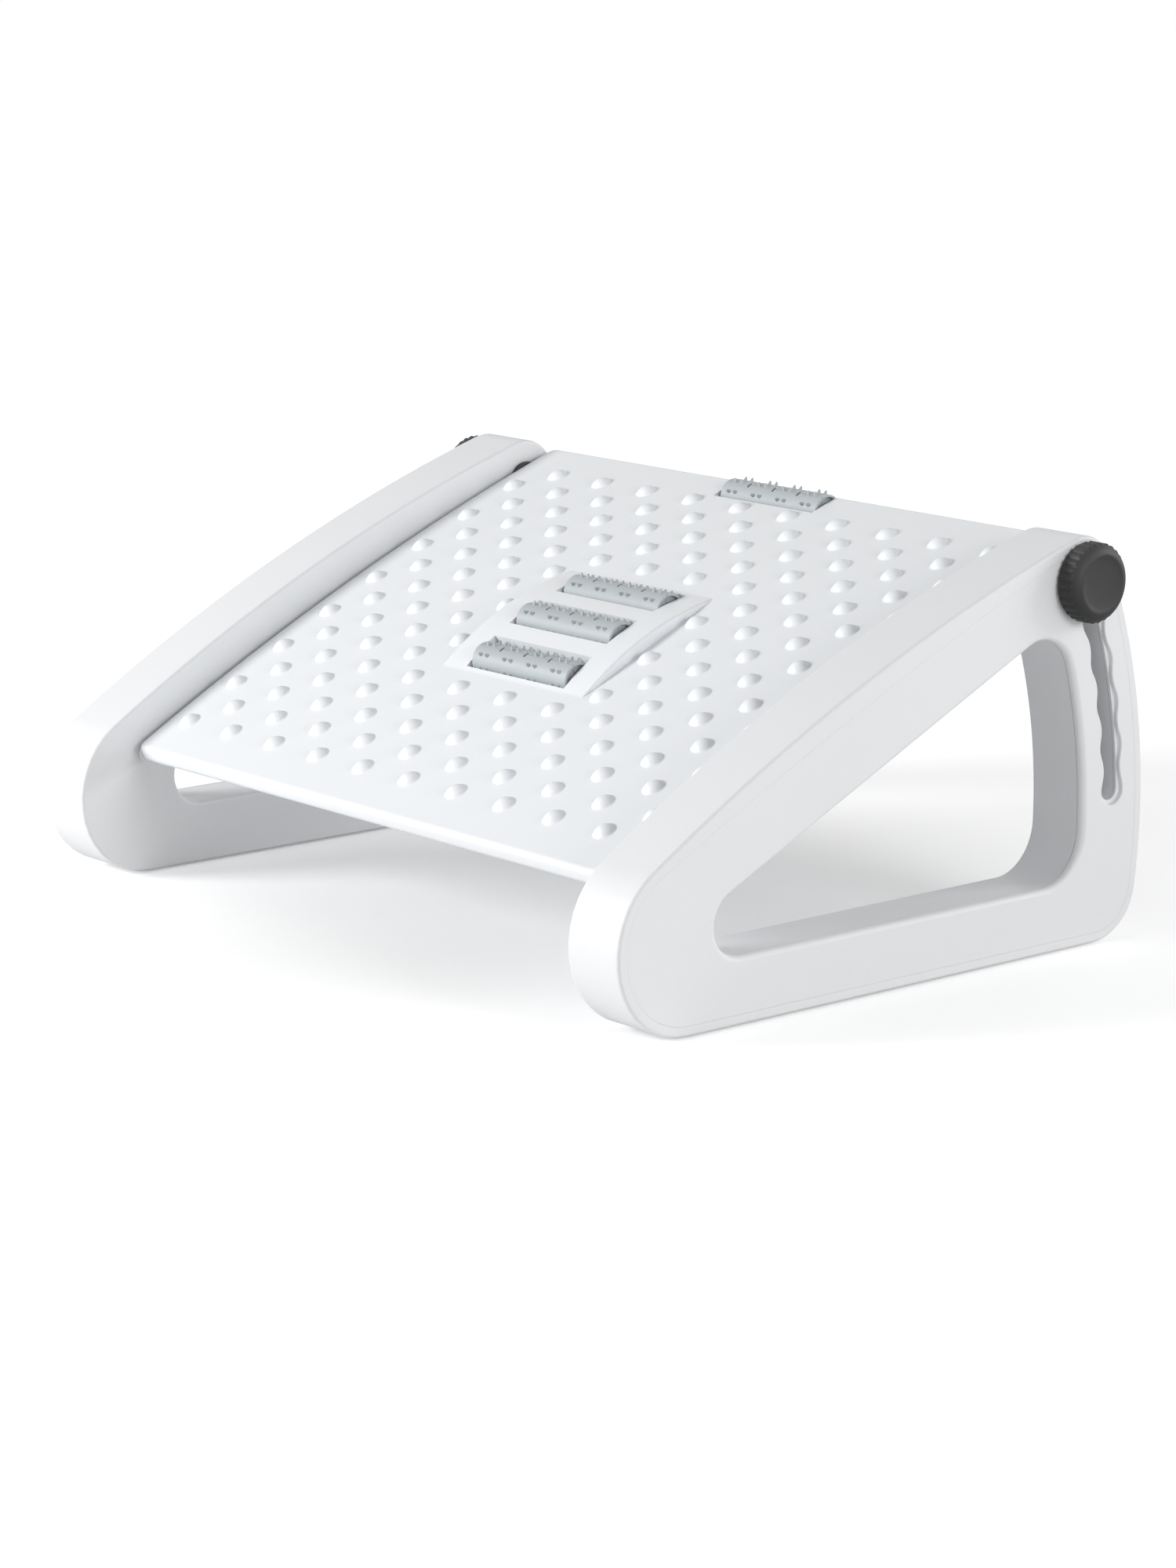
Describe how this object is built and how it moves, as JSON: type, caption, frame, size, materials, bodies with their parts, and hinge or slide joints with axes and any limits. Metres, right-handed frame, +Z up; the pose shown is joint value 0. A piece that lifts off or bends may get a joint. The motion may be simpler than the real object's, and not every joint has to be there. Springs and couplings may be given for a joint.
{
  "type": "under_desk_footrest",
  "caption": "Under-desk footrest: a white crowned footboard with massage bumps and grey spiked rollers, tilting between two triangular side frames with black clamp knobs.",
  "frame": {"origin": "the centre of the bounding box's footprint, on the floor", "axes": "+X across the width to the right-hand frame, +Y from the low edge of the board to its high edge, +Z up"},
  "size_m": [0.4656, 0.3368, 0.2006],
  "materials": {
    "board_plastic": "cool white moulded plastic, fine satin grain",
    "frame_plastic": "light grey-white moulded plastic, satin",
    "roller_plastic": "mid grey moulded plastic, satin",
    "knob_plastic": "black moulded plastic, fine matt grain",
    "spacer_plastic": "black moulded plastic, satin",
    "foot_rubber": "dark grey rubber, matt",
    "zinc_steel": "bright zinc-plated steel",
    "insert_brass": "plain machined brass"
  },
  "bodies": {
    "side_frames": {"left_inner_shell": "frame_plastic", "left_outer_cover": "frame_plastic", "left_foot_strip": "foot_rubber", "left_pivot_pin": "zinc_steel", "left_pivot_spacer": "frame_plastic", "left_frame_screw_1": "zinc_steel", "left_frame_screw_2": "zinc_steel", "left_frame_screw_3": "zinc_steel", "left_frame_screw_4": "zinc_steel", "right_inner_shell": "frame_plastic", "right_outer_cover": "frame_plastic", "right_foot_strip": "foot_rubber", "right_pivot_pin": "zinc_steel", "right_pivot_spacer": "frame_plastic", "right_frame_screw_1": "zinc_steel", "right_frame_screw_2": "zinc_steel", "right_frame_screw_3": "zinc_steel", "right_frame_screw_4": "zinc_steel"},
    "footboard": {"footboard": "board_plastic", "low_roller_axle": "zinc_steel", "middle_roller_axle": "zinc_steel", "high_roller_axle": "zinc_steel", "edge_roller_axle": "zinc_steel", "left_clamp_spacer": "spacer_plastic", "left_threaded_insert": "insert_brass", "right_clamp_spacer": "spacer_plastic", "right_threaded_insert": "insert_brass"},
    "low_roller": {"low_roller_front_half": "roller_plastic", "low_roller_rear_half": "roller_plastic"},
    "middle_roller": {"middle_roller_front_half": "roller_plastic", "middle_roller_rear_half": "roller_plastic"},
    "high_roller": {"high_roller_front_half": "roller_plastic", "high_roller_rear_half": "roller_plastic"},
    "edge_roller": {"edge_roller_front_half": "roller_plastic", "edge_roller_rear_half": "roller_plastic"},
    "left_collar": {"left_clamp_collar": "spacer_plastic"},
    "left_knob": {"left_knob": "knob_plastic", "left_knob_stud": "zinc_steel"},
    "right_collar": {"right_clamp_collar": "spacer_plastic"},
    "right_knob": {"right_knob": "knob_plastic", "right_knob_stud": "zinc_steel"}
  },
  "joints": [
    {"name": "board_tilt", "type": "hinge", "parent": "side_frames", "child": "footboard", "pos_m": [0, -0.13, 0.063], "axis": [1, 0, 0], "range_deg": [-22.35, 0]},
    {"name": "low_roller_turn", "type": "hinge", "parent": "footboard", "child": "low_roller", "pos_m": [0, -0.03112, 0.12197], "axis": [1, 0, 0], "continuous": true},
    {"name": "middle_roller_turn", "type": "hinge", "parent": "footboard", "child": "middle_roller", "pos_m": [0, -0.00293, 0.13846], "axis": [1, 0, 0], "continuous": true},
    {"name": "high_roller_turn", "type": "hinge", "parent": "footboard", "child": "high_roller", "pos_m": [0, 0.02789, 0.14923], "axis": [1, 0, 0], "continuous": true},
    {"name": "edge_roller_turn", "type": "hinge", "parent": "footboard", "child": "edge_roller", "pos_m": [0, 0.13371, 0.18796], "axis": [1, 0, 0], "continuous": true},
    {"name": "left_collar_slide", "type": "slide", "parent": "footboard", "child": "left_collar", "axis": [-1, 0, 0], "range_m": [0, 0.003]},
    {"name": "left_knob_turn", "type": "hinge", "parent": "left_collar", "child": "left_knob", "pos_m": [-0.2266, 0.12164, 0.17927], "axis": [-1, 0, 0], "range_deg": [0, 720]},
    {"name": "right_collar_slide", "type": "slide", "parent": "footboard", "child": "right_collar", "axis": [1, 0, 0], "range_m": [0, 0.003]},
    {"name": "right_knob_turn", "type": "hinge", "parent": "right_collar", "child": "right_knob", "pos_m": [0.2266, 0.12164, 0.17927], "axis": [1, 0, 0], "range_deg": [0, 720]}
  ],
  "couplings": [
    {"joint": "left_knob_turn", "follows": "left_collar_slide", "rad_per_m": 4188.7},
    {"joint": "right_knob_turn", "follows": "right_collar_slide", "rad_per_m": 4188.7}
  ]
}
